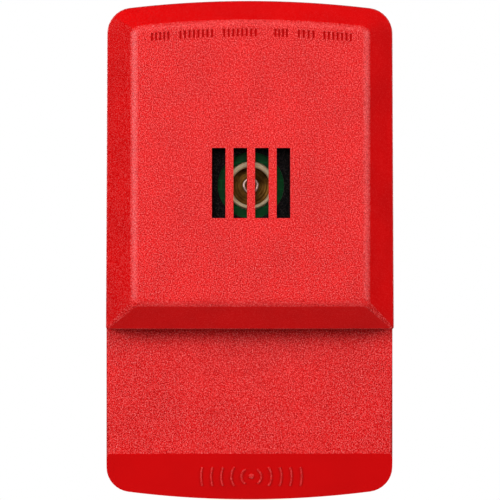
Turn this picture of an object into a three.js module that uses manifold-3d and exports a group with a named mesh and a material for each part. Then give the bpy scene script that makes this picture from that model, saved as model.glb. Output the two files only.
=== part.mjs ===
// A wall-mounted fire alarm horn: a red head that hangs on two hooks of a mounting plate and is
// locked by a screw in its bottom edge.
//
// Frame, in millimetres: +X is to the right seen from the front, the front faces -Y, the wall is the
// plane y = 0, +Z is up, and z = 0 is at half the body's height.

import * as THREE from 'three';
import { mergeVertices } from 'three/addons/utils/BufferGeometryUtils.js';
import Module from 'manifold-3d';

const wasm = await Module();
wasm.setup();

// ---------------------------------------------------------------- driving dimensions

const GAP = 0.3;
const OVERSHOOT = 1;

const BODY_HALF_WIDTH = 57.15;
const BODY_CREST = 99.1;
const TOP_RADIUS = 400;
const BOTTOM_RADIUS = 370;
const CORNER_RADIUS = 10;
const DRAFT = Math.tan(THREE.MathUtils.degToRad(1));
const WALL = 2.5;

const COVER_REAR = -3;
const PANEL_FRONT = -28;
const PANEL_EDGE_RADIUS = 2.5;
const SLOPE_EDGE = -41;
const FACE_FRONT = -52;

const RAISED_BOTTOM = -30.4;
const PANEL_TOP = -24;
const FACE_HALF_WIDTH = 45.3;
const FACE_CREST = 89.5;
const FACE_BOTTOM = -20.3;
const FACE_CORNER = 2;
const RIDGE_ROUND = 1.2;
const BEVEL_TOP = -80;
const BEVEL_FOOT_FRONT = -19;

const SLOT_COUNT = 4;
const SLOT_PITCH = 8.4;
const SLOT_WIDTH = 5.3;
const SLOT_BOTTOM = 13.1;
const SLOT_TOP = 40.4;

const SOUND_X = 0.3;
const SOUND_Z = 26;
const MOUTH_RADIUS = 13;
const PORT_OUTER = 9.3;
const PORT_INNER = 7.5;
const CUP_RADIUS = 17;
const CUP_DEPTH = 14;
const CUP_WALL = 1.8;
const CERAMIC_RADIUS = 10;
const CERAMIC_THICKNESS = 0.6;

const GASKET_FRONT = FACE_FRONT + WALL + GAP;
const GASKET_REAR = GASKET_FRONT + 1;
const BAFFLE_FRONT = GASKET_REAR + GAP;
const BAFFLE_FLOOR = -44.6;
const BAFFLE_REAR = -42.4;
const BAFFLE_HALF = { x: 21, z: 20 };

const BOARD_FRONT = -42;
const BOARD_REAR = -40.4;
const BOARD_HALF_WIDTH = 36;
const BOARD_BOTTOM = -25;
const BOARD_TOP = 61;
const BOARD_SCREWS = [[-31, -6], [31, -6], [-31, 56], [31, 56]];
const PART_SEAT = BOARD_REAR + GAP;
const POST_RADIUS = 3;
const POST_PILOT_RADIUS = 1.4;

const PORT_FLANGE_FRONT = PART_SEAT;
const PORT_FLANGE_REAR = PORT_FLANGE_FRONT + 1.4;
const DIAPHRAGM_RADIUS = 14.6;
const DIAPHRAGM_FRONT = PORT_FLANGE_REAR + 0.7;
const DIAPHRAGM_REAR = DIAPHRAGM_FRONT + 0.4;
const EYELET_INNER = 2.1;
const EYELET_OUTER = 3.2;
const EYELET_HEIGHT = 0.9;
const RIDGE_PITCH = 2.4;
const RIDGE_HEIGHT = 0.25;
const CERAMIC_FRONT = DIAPHRAGM_REAR + GAP;

const CHASSIS_FRONT = -15;
const CHASSIS_REAR = -13;
const CHASSIS_HALF_WIDTH = 52.5;
const CHASSIS_TOP = 90;
const CHASSIS_BOTTOM = -90;
const CHASSIS_SCREWS = [[-40, 77], [40, 77], [-44, -72], [44, -72]];
const BOSS_RADIUS = 3.4;
const BOSS_PILOT_RADIUS = 1.5;
const PILOT_DEPTH = 9;
const SCREW_HOLE_RADIUS = 1.6;

const SWITCHES = [{ name: 'tone', x: -14 }, { name: 'volume', x: 14 }];
const SWITCH_Z = -48;
const SWITCH_FRONT = CHASSIS_FRONT - 5.5;
const SWITCH_WINDOW = { x: 3.6, z: 1.3 };
const KNOB_HALF = { x: 1.5, z: 0.9 };

const HINGE_Y = -4.5;
const HINGE_Z = 94;
const HINGE_BAR_RADIUS = 1.2;
const HOOK_X = 22;
const HOOK_WIDTH = 7;
const HOOK_THICKNESS = 1.5;
const EAR_HALF = 0.9;

const PLATE_FRONT = -2.4;
const PLATE_ROOT = PLATE_FRONT + 0.5;
const PLATE_RIM_FRONT = -5;
const PLATE_HALF_WIDTH = 55.9;
const PLATE_TOP = 92.5;
const PLATE_BOTTOM = -97.9;
const RIM = { half: 53.8, height: 86, corner: 6, wall: 1.6 };
const BOX_SLOT_RADIUS = 2.4;
const BOX_SLOT_TRAVEL = 2.1;
const BOX_SCREW_Z = 41.65;
const BOX_SCREW_X = 23;
const WIRE_OPENING = { x: 24, bottom: 5, top: 33 };

const LOCK_Y = -9;
const LOCK_SEAT = -95.4;
const LOCK_SHANK = 11.2;
const LOCK_BOSS_TOP = -92;
const FORK_BOTTOM = -91.2;
const FORK_TOP = -88.8;
const FORK_HALF = 6;
const FORK_REACH = 3.6;
const LOCK_HOLE_RADIUS = 1.8;
const LOCK_RECESS_RADIUS = 3.6;
const LOCK_NUT = { half: 3.25, bottom: -88.5, top: -86.1 };

const TERMINAL_COUNT = 4;
const TERMINAL_PITCH = 10;
const TERMINAL_FRONT = -10.8;
const TERMINAL_REAR = PLATE_FRONT - GAP;
const TERMINAL_BOTTOM = -26;
const TERMINAL_TOP = -2;
const TERMINAL_SCREW_Z = -8;
const TERMINAL_FLOOR = -5.5;
const STRIP_SPAN = [-6.6, -5.8];
const CLAMP_SPAN = [-8.2, -7.2];
const CLAMP_LIP_FRONT = -9;
const TERMINAL_SCREW_TIP = -3.5;
const PIN_Z = -20;
const PIN_HALF = 0.6;

const FINE_ROUND = 36;
const ROUND = 24;
const SMALL_ROUND = 12;
const CORNER_STEPS = 6;
const CREST_STEPS = 12;

// ---------------------------------------------------------------- surface finishes

function finish(colour, roughness, metalness = 0) {
  return new THREE.MeshStandardMaterial({ color: colour, roughness, metalness, flatShading: true });
}

const redPlastic = () => finish(0xd8232a, 0.55);
const blackPlastic = () => finish(0x1b1b1d, 0.6);
const greyPlastic = () => finish(0x5a5c5f, 0.55);
const whitePlastic = () => finish(0xe6e4dd, 0.5);
const tanPlastic = () => finish(0xbfa77a, 0.5);
const foam = () => finish(0x26262a, 0.95);
const greenBoard = () => finish(0x0c4522, 0.4);
const brass = () => finish(0xb08a3c, 0.35, 1);
const copper = () => finish(0xb4643a, 0.35, 1);
const steel = () => finish(0xb9bcc0, 0.35, 1);
const ceramic = () => finish(0xe8e0d2, 0.5);
const ferrite = () => finish(0x2f2f33, 0.7);

// ---------------------------------------------------------------- solids

function solidOf(geometry) {
  const bare = geometry.index ? geometry.toNonIndexed() : geometry.clone();
  bare.deleteAttribute('normal');
  bare.deleteAttribute('uv');
  const merged = mergeVertices(bare, 1e-4);
  return new wasm.Manifold(new wasm.Mesh({
    numProp: 3,
    vertProperties: new Float32Array(merged.attributes.position.array),
    triVerts: new Uint32Array(merged.index.array),
  }));
}

function geometryOf(solid) {
  const mesh = solid.getMesh();
  const geometry = new THREE.BufferGeometry();
  geometry.setAttribute('position', new THREE.BufferAttribute(new Float32Array(mesh.vertProperties), 3));
  geometry.setIndex(new THREE.BufferAttribute(new Uint32Array(mesh.triVerts), 1));
  geometry.computeVertexNormals();
  return geometry;
}

function add(parent, name, solid, material, place = [0, 0, 0]) {
  const mesh = new THREE.Mesh(geometryOf(solid), material);
  mesh.name = name;
  mesh.position.set(...place);
  parent.add(mesh);
}

function join(solids) {
  return solids.reduce((whole, solid) => whole.add(solid));
}

function cut(solid, tools) {
  return tools.reduce((whole, tool) => whole.subtract(tool), solid);
}

function block(spanX, spanY, spanZ) {
  const spans = [spanX, spanY, spanZ];
  const sizes = spans.map(([low, high]) => high - low);
  const middles = spans.map(([low, high]) => (high + low) / 2);
  return solidOf(new THREE.BoxGeometry(...sizes).translate(...middles));
}

// Round solids: along Y (out of the wall), along Z (upright) and along X (across).
function rod(radius, spanY, x = 0, z = 0, steps = SMALL_ROUND) {
  const length = spanY[1] - spanY[0];
  const geometry = new THREE.CylinderGeometry(radius, radius, length, steps);
  return solidOf(geometry.translate(x, (spanY[0] + spanY[1]) / 2, z));
}

function uprightRod(radius, spanZ, x, y, steps = SMALL_ROUND) {
  const length = spanZ[1] - spanZ[0];
  const geometry = new THREE.CylinderGeometry(radius, radius, length, steps);
  return solidOf(geometry.rotateX(Math.PI / 2).translate(x, y, (spanZ[0] + spanZ[1]) / 2));
}

function crossRod(radius, spanX, y, z, steps = SMALL_ROUND) {
  const length = spanX[1] - spanX[0];
  const geometry = new THREE.CylinderGeometry(radius, radius, length, steps);
  return solidOf(geometry.rotateZ(Math.PI / 2).translate((spanX[0] + spanX[1]) / 2, y, z));
}

// A profile of [radius, y] points turned about the Y axis. It starts and ends on the axis, or
// closes on itself.
function turned(profile, steps = ROUND) {
  const points = profile.map(([radius, y]) => new THREE.Vector2(radius, y));
  return solidOf(new THREE.LatheGeometry(points, steps));
}

function ringProfile(inner, outer, low, high) {
  return [[inner, low], [outer, low], [outer, high], [inner, high], [inner, low]];
}

function wireTube(points, radius, steps) {
  const curve = new THREE.CatmullRomCurve3(points.map((point) => new THREE.Vector3(...point)));
  const section = new THREE.Shape().absarc(0, 0, radius, 0, 2 * Math.PI);
  const options = { steps, curveSegments: 4, extrudePath: curve };
  return solidOf(new THREE.ExtrudeGeometry(section, options));
}

// ---------------------------------------------------------------- the body's outline and lofts

// One crowned edge, from the right side round to the left: a corner arc, the crest and the other
// corner arc. An infinite radius makes the crest straight.
function crownedEdge(half, crest, radius, corner) {
  const bowed = Number.isFinite(radius);
  const centreX = half - corner;
  const centreZ = bowed
    ? crest - radius + Math.sqrt((radius - corner) ** 2 - centreX ** 2)
    : crest - corner;
  const turn = bowed ? Math.atan2(centreZ - crest + radius, centreX) : Math.PI / 2;
  const right = [];
  for (let step = 0; step <= CORNER_STEPS; step += 1) {
    const angle = (turn * step) / CORNER_STEPS;
    right.push([centreX + corner * Math.cos(angle), centreZ + corner * Math.sin(angle)]);
  }
  const [endX, endZ] = right[CORNER_STEPS];
  const middle = [];
  for (let step = 1; step < CREST_STEPS; step += 1) {
    const x = endX * (1 - (2 * step) / CREST_STEPS);
    middle.push([x, bowed ? crest - radius + Math.sqrt(radius ** 2 - x ** 2) : endZ]);
  }
  const left = right.map(([x, z]) => [-x, z]).reverse();
  return [...right, ...middle, ...left];
}

// An outline is { half, top, bottom } with optional radii: bottom is the lowest height.
function ring(outline, y) {
  const topCorner = outline.topCorner ?? outline.corner;
  const bottomCorner = outline.bottomCorner ?? outline.corner;
  const topRadius = outline.topRadius ?? Infinity;
  const bottomRadius = outline.bottomRadius ?? Infinity;
  const upper = crownedEdge(outline.half, outline.top, topRadius, topCorner);
  const lower = crownedEdge(outline.half, -outline.bottom, bottomRadius, bottomCorner);
  const turnedLower = lower.map(([x, z]) => [-x, -z]);
  return [...upper, ...turnedLower].map(([x, z]) => new THREE.Vector3(x, y, z));
}

// A closed skin over rings that follow each other from the wall side to the front.
function loft(rings) {
  const count = rings[0].length;
  const positions = rings.flat().flatMap((point) => point.toArray());
  const faces = [];
  for (let level = 0; level < rings.length - 1; level += 1) {
    for (let index = 0; index < count; index += 1) {
      const next = (index + 1) % count;
      const low = level * count;
      const high = low + count;
      faces.push(low + index, low + next, high + index);
      faces.push(low + next, high + next, high + index);
    }
  }
  const contour = rings[0].map((point) => new THREE.Vector2(point.x, point.z));
  const front = (rings.length - 1) * count;
  for (const [a, b, c] of THREE.ShapeUtils.triangulateShape(contour, [])) {
    faces.push(a, c, b);
  }
  const frontContour = rings[rings.length - 1].map((point) => new THREE.Vector2(point.x, point.z));
  for (const [a, b, c] of THREE.ShapeUtils.triangulateShape(frontContour, [])) {
    faces.push(front + a, front + b, front + c);
  }
  const geometry = new THREE.BufferGeometry();
  geometry.setAttribute('position', new THREE.Float32BufferAttribute(positions, 3));
  geometry.setIndex(faces);
  return solidOf(geometry);
}

function slab(outline, spanY) {
  return loft([ring(outline, spanY[1]), ring(outline, spanY[0])]);
}

// The moulding narrows towards the front by its draft angle.
function draftAt(y) {
  return (COVER_REAR - y) * DRAFT;
}

function raisedBlock(inset, rear, edge, front) {
  const sideOutline = (y) => ({
    half: BODY_HALF_WIDTH - inset - draftAt(y),
    top: BODY_CREST - inset - draftAt(y),
    bottom: RAISED_BOTTOM + inset,
    topRadius: TOP_RADIUS,
    topCorner: CORNER_RADIUS - inset,
    bottomCorner: 1,
  });
  const faceInset = inset * Math.tan(Math.PI / 8);
  const faceOutline = (extra) => ({
    half: FACE_HALF_WIDTH - faceInset - extra,
    top: FACE_CREST - faceInset - extra,
    bottom: FACE_BOTTOM + faceInset + extra,
    topRadius: TOP_RADIUS,
    corner: FACE_CORNER,
  });
  return loft([
    ring(sideOutline(rear), rear),
    ring(sideOutline(edge), edge),
    ring(faceOutline(0), front + RIDGE_ROUND / 2),
    ring(faceOutline(RIDGE_ROUND), front),
  ]);
}

function lowerBlock(inset, rear, front) {
  const outline = (y, extra) => ({
    half: BODY_HALF_WIDTH - inset - draftAt(y) - extra,
    top: PANEL_TOP,
    bottom: -BODY_CREST + inset + draftAt(y) + extra,
    bottomRadius: BOTTOM_RADIUS,
    topCorner: 0.5,
    bottomCorner: CORNER_RADIUS - inset,
  });
  const edgeRadius = PANEL_EDGE_RADIUS - inset / 2;
  const rings = [ring(outline(rear, 0), rear)];
  for (const turn of [0, 30, 60, 90]) {
    const angle = THREE.MathUtils.degToRad(turn);
    const y = front + edgeRadius * (1 - Math.sin(angle));
    rings.push(ring(outline(y, edgeRadius * (1 - Math.cos(angle))), y));
  }
  const bevelRise = BEVEL_FOOT_FRONT - PANEL_FRONT;
  const bevelRun = BEVEL_TOP + BODY_CREST;
  const bevelLength = Math.hypot(bevelRise, bevelRun);
  const bevelTilt = Math.atan2(bevelRise, bevelRun);
  const cutter = new THREE.BoxGeometry(3 * BODY_HALF_WIDTH, bevelLength, 4 * bevelLength);
  cutter.translate(0, inset - bevelLength / 2, -bevelLength);
  cutter.rotateX(bevelTilt);
  cutter.translate(0, PANEL_FRONT, BEVEL_TOP);
  return loft(rings).subtract(solidOf(cutter));
}

// ---------------------------------------------------------------- head

function slotCutters() {
  const cutters = [];
  for (let index = 0; index < SLOT_COUNT; index += 1) {
    const x = SOUND_X + (index - (SLOT_COUNT - 1) / 2) * SLOT_PITCH;
    cutters.push(block(
      [x - SLOT_WIDTH / 2, x + SLOT_WIDTH / 2],
      [FACE_FRONT - OVERSHOOT, FACE_FRONT + WALL + OVERSHOOT],
      [SLOT_BOTTOM, SLOT_TOP],
    ));
  }
  return cutters;
}

function coverShell() {
  const outerRaised = raisedBlock(0, COVER_REAR, SLOPE_EDGE, FACE_FRONT);
  const outerLower = lowerBlock(0, COVER_REAR, PANEL_FRONT);
  const openRear = COVER_REAR + OVERSHOOT;
  const innerRaised = raisedBlock(WALL, openRear, SLOPE_EDGE + WALL / 2, FACE_FRONT + WALL);
  const innerLower = lowerBlock(WALL, openRear, PANEL_FRONT + WALL);
  return cut(outerRaised.add(outerLower), [innerRaised, innerLower]);
}

function frontCover() {
  const rooted = 0.5;
  const bosses = CHASSIS_SCREWS.map(([x, z]) => {
    const skin = z > RAISED_BOTTOM ? FACE_FRONT : PANEL_FRONT;
    return rod(BOSS_RADIUS, [skin + WALL - rooted, CHASSIS_FRONT - GAP], x, z);
  });
  const pilotSpan = [CHASSIS_FRONT - PILOT_DEPTH, CHASSIS_FRONT];
  const pilots = CHASSIS_SCREWS.map(([x, z]) => rod(BOSS_PILOT_RADIUS, pilotSpan, x, z));
  const below = -BODY_CREST - OVERSHOOT;
  const lockBoss = block([-6, 6], [LOCK_Y - 5, LOCK_Y + 5], [-BODY_CREST + 1, LOCK_BOSS_TOP]);
  const lockHole = uprightRod(LOCK_HOLE_RADIUS, [below, LOCK_BOSS_TOP + OVERSHOOT], 0, LOCK_Y);
  const lockRecess = uprightRod(LOCK_RECESS_RADIUS, [below, LOCK_SEAT], 0, LOCK_Y, ROUND);
  const solid = join([coverShell(), ...bosses, lockBoss]);
  return cut(solid, [...pilots, lockHole, lockRecess, ...slotCutters()]);
}

function soundFrame(rear, front, wall, grow = 0) {
  const half = { x: BAFFLE_HALF.x + grow, z: BAFFLE_HALF.z + grow };
  const outer = block([-half.x, half.x], [front, rear], [-half.z, half.z]);
  const inner = block(
    [-half.x + wall, half.x - wall],
    [front - OVERSHOOT, rear + OVERSHOOT],
    [-half.z + wall, half.z - wall],
  );
  return outer.subtract(inner);
}

function soundBaffle() {
  const walls = soundFrame(BAFFLE_REAR, BAFFLE_FRONT, 1.6);
  const floor = block(
    [-BAFFLE_HALF.x, BAFFLE_HALF.x],
    [BAFFLE_FLOOR, BAFFLE_REAR],
    [-BAFFLE_HALF.z, BAFFLE_HALF.z],
  );
  const through = [BAFFLE_FLOOR - OVERSHOOT, BAFFLE_REAR + OVERSHOOT];
  const mouth = rod(MOUTH_RADIUS, through, 0, 0, FINE_ROUND);
  return walls.add(floor).subtract(mouth);
}

function circuitBoard() {
  const board = block(
    [-BOARD_HALF_WIDTH, BOARD_HALF_WIDTH],
    [BOARD_FRONT, BOARD_REAR],
    [BOARD_BOTTOM, BOARD_TOP],
  );
  const through = [BOARD_FRONT - OVERSHOOT, BOARD_REAR + OVERSHOOT];
  const holes = BOARD_SCREWS.map(([x, z]) => rod(SCREW_HOLE_RADIUS, through, x, z));
  const portHole = rod(PORT_OUTER + GAP, through, SOUND_X, SOUND_Z, FINE_ROUND);
  return cut(board, [portHole, ...holes]);
}

function portRing() {
  const collarFront = BOARD_FRONT - 1.3;
  const flangeRadius = CUP_RADIUS - 0.4;
  return turned([
    [PORT_INNER, PORT_FLANGE_REAR],
    [PORT_INNER, collarFront],
    [PORT_OUTER, collarFront],
    [PORT_OUTER, PORT_FLANGE_FRONT],
    [flangeRadius, PORT_FLANGE_FRONT],
    [flangeRadius, PORT_FLANGE_REAR],
    [PORT_INNER, PORT_FLANGE_REAR],
  ], FINE_ROUND);
}

// The diaphragm's front carries fine concentric ridges.
function soundDiaphragm() {
  const profile = [[0, DIAPHRAGM_FRONT], [EYELET_OUTER, DIAPHRAGM_FRONT]];
  for (let radius = 4; radius < DIAPHRAGM_RADIUS - 1; radius += RIDGE_PITCH) {
    profile.push([radius, DIAPHRAGM_FRONT]);
    profile.push([radius + RIDGE_PITCH / 6, DIAPHRAGM_FRONT - RIDGE_HEIGHT]);
    profile.push([radius + RIDGE_PITCH / 3, DIAPHRAGM_FRONT]);
  }
  profile.push([DIAPHRAGM_RADIUS, DIAPHRAGM_FRONT]);
  profile.push([DIAPHRAGM_RADIUS, DIAPHRAGM_REAR]);
  profile.push([0, DIAPHRAGM_REAR]);
  return turned(profile);
}

function centreEyelet() {
  const rear = DIAPHRAGM_FRONT - GAP;
  return turned(ringProfile(EYELET_INNER, EYELET_OUTER, rear - EYELET_HEIGHT, rear));
}

function piezoCeramic() {
  return rod(CERAMIC_RADIUS, [CERAMIC_FRONT, CERAMIC_FRONT + CERAMIC_THICKNESS], 0, 0, ROUND);
}

function soundCup() {
  const front = DIAPHRAGM_FRONT - 0.4;
  const seat = DIAPHRAGM_REAR + GAP;
  const rear = BOARD_REAR + CUP_DEPTH;
  const floor = rear - 1.6;
  const bowl = CUP_RADIUS - 4;
  const rim = CUP_RADIUS - CUP_WALL;
  return turned([
    [0, floor],
    [bowl, floor],
    [bowl, seat],
    [rim, seat],
    [rim, front],
    [CUP_RADIUS, front],
    [CUP_RADIUS, rear],
    [0, rear],
  ], FINE_ROUND);
}

// Two ears hold each hinge bar, so that the wall plate's hook can take it between them.
function hingeEars(side) {
  const reach = HOOK_WIDTH / 2 + 2;
  const middle = side * HOOK_X;
  const parts = [crossRod(HINGE_BAR_RADIUS, [middle - reach, middle + reach], HINGE_Y, HINGE_Z)];
  const outwards = HINGE_BAR_RADIUS;
  for (const offset of [-1, 1]) {
    const x = middle + offset * (HOOK_WIDTH / 2 + 2 * EAR_HALF);
    const spanX = [x - EAR_HALF, x + EAR_HALF];
    const arm = [HINGE_Z - 2.5, HINGE_Z + outwards];
    parts.push(block(spanX, [CHASSIS_FRONT, HINGE_Y + outwards], arm));
    parts.push(block(spanX, [CHASSIS_FRONT, CHASSIS_REAR], [CHASSIS_TOP - 6, HINGE_Z]));
  }
  return parts;
}

function rearChassis() {
  const panel = slab({
    half: CHASSIS_HALF_WIDTH,
    top: CHASSIS_TOP,
    bottom: CHASSIS_BOTTOM,
    topRadius: TOP_RADIUS,
    bottomRadius: BOTTOM_RADIUS,
    corner: CORNER_RADIUS - 2 * WALL,
  }, [CHASSIS_FRONT, CHASSIS_REAR]);
  const postSpan = [PART_SEAT, CHASSIS_FRONT + 0.5];
  const pilotSpan = [BOARD_REAR, BOARD_REAR + PILOT_DEPTH];
  const posts = BOARD_SCREWS.map(([x, z]) => rod(POST_RADIUS, postSpan, x, z));
  const postPilots = BOARD_SCREWS.map(([x, z]) => rod(POST_PILOT_RADIUS, pilotSpan, x, z));
  const ears = [-1, 1].flatMap(hingeEars);
  const nutPocket = block([-4.9, 4.9], [CHASSIS_FRONT, LOCK_Y + 3], [-88.4, -84.2])
    .subtract(block([-3.6, 3.6], [LOCK_Y - 3.6, LOCK_Y + 4], [-90, -85.7]));
  const nutHole = uprightRod(LOCK_HOLE_RADIUS, [-87, -83], 0, LOCK_Y);
  const through = [CHASSIS_FRONT - 0.5, CHASSIS_REAR + 0.5];
  const screwHoles = CHASSIS_SCREWS.map(([x, z]) => rod(SCREW_HOLE_RADIUS, through, x, z));
  const pinHoles = terminalPlaces().map((x) => (
    block([x - 1, x + 1], through, [PIN_Z - 1, PIN_Z + 1])
  ));
  const knobSlots = SWITCHES.map(({ x }) => block(
    [x - SWITCH_WINDOW.x, x + SWITCH_WINDOW.x],
    through,
    [SWITCH_Z - SWITCH_WINDOW.z, SWITCH_Z + SWITCH_WINDOW.z],
  ));
  const solid = join([panel, ...posts, ...ears, nutPocket]);
  return cut(solid, [...postPilots, nutHole, ...screwHoles, ...pinHoles, ...knobSlots]);
}

function switchBody() {
  const body = block([-6, 6], [SWITCH_FRONT, CHASSIS_FRONT - GAP], [-3, 3]);
  const window = block(
    [-SWITCH_WINDOW.x, SWITCH_WINDOW.x],
    [SWITCH_FRONT + 1.5, CHASSIS_FRONT],
    [-SWITCH_WINDOW.z, SWITCH_WINDOW.z],
  );
  const legSpan = [SWITCH_FRONT - 2.5, SWITCH_FRONT + 0.5];
  const legs = [-4, 0, 4].map((x) => block([x - 0.4, x + 0.4], legSpan, [-0.3, 0.3]));
  return join([body.subtract(window), ...legs]);
}

function switchKnob() {
  const tip = CHASSIS_REAR + 1.2;
  const knob = block(
    [-KNOB_HALF.x, KNOB_HALF.x],
    [SWITCH_FRONT + 1.8, tip],
    [-KNOB_HALF.z, KNOB_HALF.z],
  );
  const grooves = [-0.7, 0.7].map((x) => block([x - 0.2, x + 0.2], [tip - 0.4, tip + 1], [-1, 1]));
  return cut(knob, grooves);
}

// A pan-head screw with a cross recess: its tip is at y = 0 and its head points to +Y.
function panScrew(headRadius, headHeight, shankRadius, shankLength) {
  const head = turned([
    [0, shankLength],
    [headRadius, shankLength],
    [headRadius, shankLength + headHeight * 0.55],
    [headRadius * 0.72, shankLength + headHeight],
    [0, shankLength + headHeight],
  ], SMALL_ROUND);
  const shank = turned([
    [0, 0],
    [shankRadius * 0.4, 0],
    [shankRadius, shankRadius],
    [shankRadius, shankLength + 0.2],
    [0, shankLength + 0.2],
  ], 8);
  const high = shankLength + headHeight;
  const reach = headRadius * 0.6;
  const recess = [high - headHeight / 2, high + OVERSHOOT];
  const narrow = [-0.35, 0.35];
  const cross = [block([-reach, reach], recess, narrow), block(narrow, recess, [-reach, reach])];
  return cut(head.add(shank), cross);
}

function mirroredToFront(solid) {
  const geometry = geometryOf(solid);
  return solidOf(geometry.rotateX(Math.PI));
}

function turnedDown(solid) {
  const geometry = geometryOf(solid);
  return solidOf(geometry.rotateX(-Math.PI / 2));
}

function contactPin() {
  const tip = TERMINAL_FRONT + 4;
  const shaft = block([-PIN_HALF, PIN_HALF], [PART_SEAT, tip - 1], [-PIN_HALF, PIN_HALF]);
  const point = new THREE.CylinderGeometry(0.45, PIN_HALF * Math.SQRT2, 1.2, 4);
  point.rotateY(Math.PI / 4).translate(0, tip - 0.5, 0);
  return shaft.add(solidOf(point));
}

function terminalPlaces() {
  const places = [];
  for (let index = 0; index < TERMINAL_COUNT; index += 1) {
    places.push((index - (TERMINAL_COUNT - 1) / 2) * TERMINAL_PITCH);
  }
  return places;
}

// The parts on the board's back stand on their seats and point to +Y.
function coilCore() {
  const flange = 6;
  const core = 3;
  return turned([
    [0, 0],
    [flange, 0],
    [flange, 1.4],
    [core, 1.4],
    [core, 9],
    [flange, 9],
    [flange, 10.4],
    [0, 10.4],
  ], 16);
}

function coilWinding() {
  return turned(ringProfile(3.3, 5.4, 1.7, 8.7), 16);
}

function capacitor(radius, height) {
  const crimp = 0.4;
  return turned([
    [0, 0],
    [radius, 0],
    [radius, 1.2],
    [radius - crimp, 1.6],
    [radius, 2],
    [radius, height - crimp],
    [radius - crimp, height],
    [0, height],
  ], 16);
}

function driverChip() {
  const parts = [block([-3.1, 3.1], [0.4, 3.4], [-5, 5])];
  const legPitch = 2.54;
  for (const side of [-1, 1]) {
    for (let index = 0; index < 4; index += 1) {
      const z = (index - 1.5) * legPitch;
      const spanZ = [z - 0.4, z + 0.4];
      const shoulder = side * 3.6;
      const foot = side * 4.2;
      parts.push(block([shoulder - 0.8, shoulder + 0.8], [1.4, 1.8], spanZ));
      parts.push(block([foot - 0.2, foot + 0.2], [0, 1.8], spanZ));
    }
  }
  return join(parts);
}

function transistor() {
  const body = block([-5, 5], [0, 4.4], [-6, 3]);
  const tab = block([-5, 5], [1.4, 2.6], [0, 9]);
  const legs = [-2.5, 0, 2.5].map((x) => block([x - 0.4, x + 0.4], [0.2, 1.8], [-9, -5]));
  return join([body, tab, ...legs]);
}

// A lead runs from the cup's back, behind the chassis side of the cup, down to the board.
function sounderLead(x) {
  const cupRear = BOARD_REAR + CUP_DEPTH + GAP;
  const foot = SOUND_Z - 22;
  return wireTube([
    [x, cupRear, SOUND_Z - 6],
    [x, cupRear + 2.5, SOUND_Z - 7.5],
    [x * 1.1, cupRear + 3.5, SOUND_Z - 13],
    [x * 1.2, cupRear + 1, SOUND_Z - 20],
    [x * 1.2, cupRear - 6, foot],
    [x * 1.2, PART_SEAT, foot],
  ], 0.6, 18);
}

// ---------------------------------------------------------------- plate

function plateRim() {
  const outline = (inset) => ({
    half: RIM.half - inset,
    top: RIM.height - inset,
    bottom: inset - RIM.height,
    corner: RIM.corner - inset,
  });
  const inside = [PLATE_RIM_FRONT - OVERSHOOT, PLATE_FRONT + OVERSHOOT];
  return slab(outline(0), [PLATE_RIM_FRONT, PLATE_ROOT])
    .subtract(slab(outline(RIM.wall), inside));
}

// Each hook is an arm out of the plate with a lip that stands up in front of the hinge bar.
function plateHook(side) {
  const spanX = [side * HOOK_X - HOOK_WIDTH / 2, side * HOOK_X + HOOK_WIDTH / 2];
  const rest = HINGE_BAR_RADIUS + GAP;
  const armTop = HINGE_Z - rest;
  const lipRear = HINGE_Y - rest;
  const lipFront = lipRear - HOOK_THICKNESS;
  return [
    block(spanX, [lipFront, PLATE_ROOT], [armTop - 2, armTop]),
    block(spanX, [lipFront, lipRear], [armTop - 2, HINGE_Z + 0.6]),
  ];
}

// The lock screw passes through the open fork, which is notched from the front.
function lockFork() {
  const through = [FORK_BOTTOM - OVERSHOOT, FORK_TOP + OVERSHOOT];
  const arm = block([-FORK_HALF, FORK_HALF], [LOCK_Y - FORK_REACH, PLATE_ROOT], [FORK_BOTTOM, FORK_TOP]);
  const notch = block([-2, 2], [LOCK_Y - FORK_REACH - OVERSHOOT, LOCK_Y], through);
  return cut(arm, [notch, uprightRod(2, through, 0, LOCK_Y)]);
}

function boxSlot(x, z, through) {
  const low = z - BOX_SLOT_TRAVEL;
  const high = z + BOX_SLOT_TRAVEL;
  return [
    block([x - BOX_SLOT_RADIUS, x + BOX_SLOT_RADIUS], through, [low, high]),
    rod(BOX_SLOT_RADIUS, through, x, low),
    rod(BOX_SLOT_RADIUS, through, x, high),
  ];
}

function mountingPlate() {
  const flange = slab({
    half: PLATE_HALF_WIDTH,
    top: PLATE_TOP,
    bottom: PLATE_BOTTOM,
    topRadius: TOP_RADIUS,
    bottomRadius: BOTTOM_RADIUS,
    corner: CORNER_RADIUS - 1.2,
  }, [PLATE_FRONT, 0]);
  const through = [PLATE_FRONT - OVERSHOOT, OVERSHOOT];
  const slots = [-BOX_SCREW_Z, BOX_SCREW_Z].flatMap((z) => (
    [-BOX_SCREW_X, 0, BOX_SCREW_X].flatMap((x) => boxSlot(x, z, through))
  ));
  const opening = block(
    [-WIRE_OPENING.x, WIRE_OPENING.x],
    through,
    [WIRE_OPENING.bottom, WIRE_OPENING.top],
  );
  const solid = join([flange, plateRim(), ...[-1, 1].flatMap(plateHook), lockFork()]);
  return cut(solid, [...slots, opening]);
}

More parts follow.
